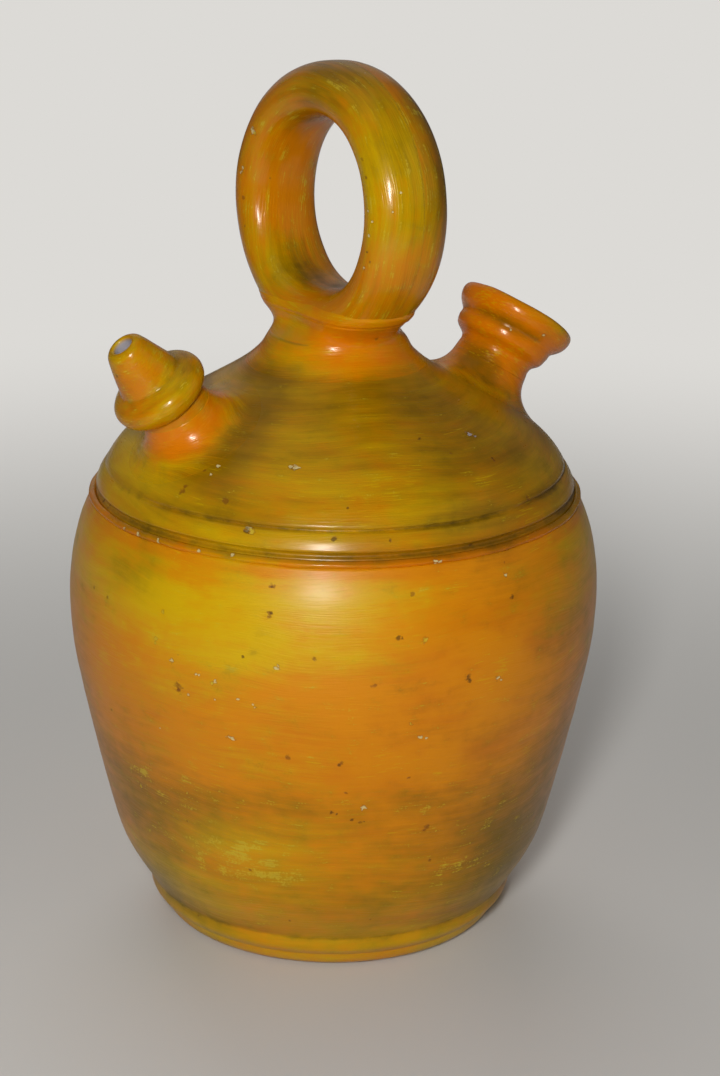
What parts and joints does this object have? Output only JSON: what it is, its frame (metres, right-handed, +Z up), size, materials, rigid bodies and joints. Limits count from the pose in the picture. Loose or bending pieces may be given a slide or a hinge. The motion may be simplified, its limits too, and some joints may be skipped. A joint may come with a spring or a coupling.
{
  "type": "botijo",
  "caption": "Round clay water jug with a turned foot, domed shoulder, upright ring handle, short drinking spout and wider filling mouth.",
  "frame": {"origin": "centre of the flat base, on the surface the jug stands on", "axes": "+Z up along the jug's axis, -X towards the drinking spout, +X towards the filling mouth, ring handle standing across X"},
  "size_m": [0.2021, 0.2, 0.3274],
  "materials": {
    "amber_wash": "satin painted earthenware",
    "olive_wash": "satin painted earthenware",
    "ochre_wash": "satin painted earthenware",
    "orange_wash": "satin painted earthenware"
  },
  "bodies": {
    "root": {"belly_pot": "amber_wash", "shoulder_dome": "olive_wash", "seam_bead": "orange_wash", "ring_handle": "ochre_wash", "handle_seam": "orange_wash", "drinking_spout": "ochre_wash", "spout_seam": "orange_wash", "filling_mouth": "orange_wash", "mouth_seam": "orange_wash"}
  },
  "joints": []
}
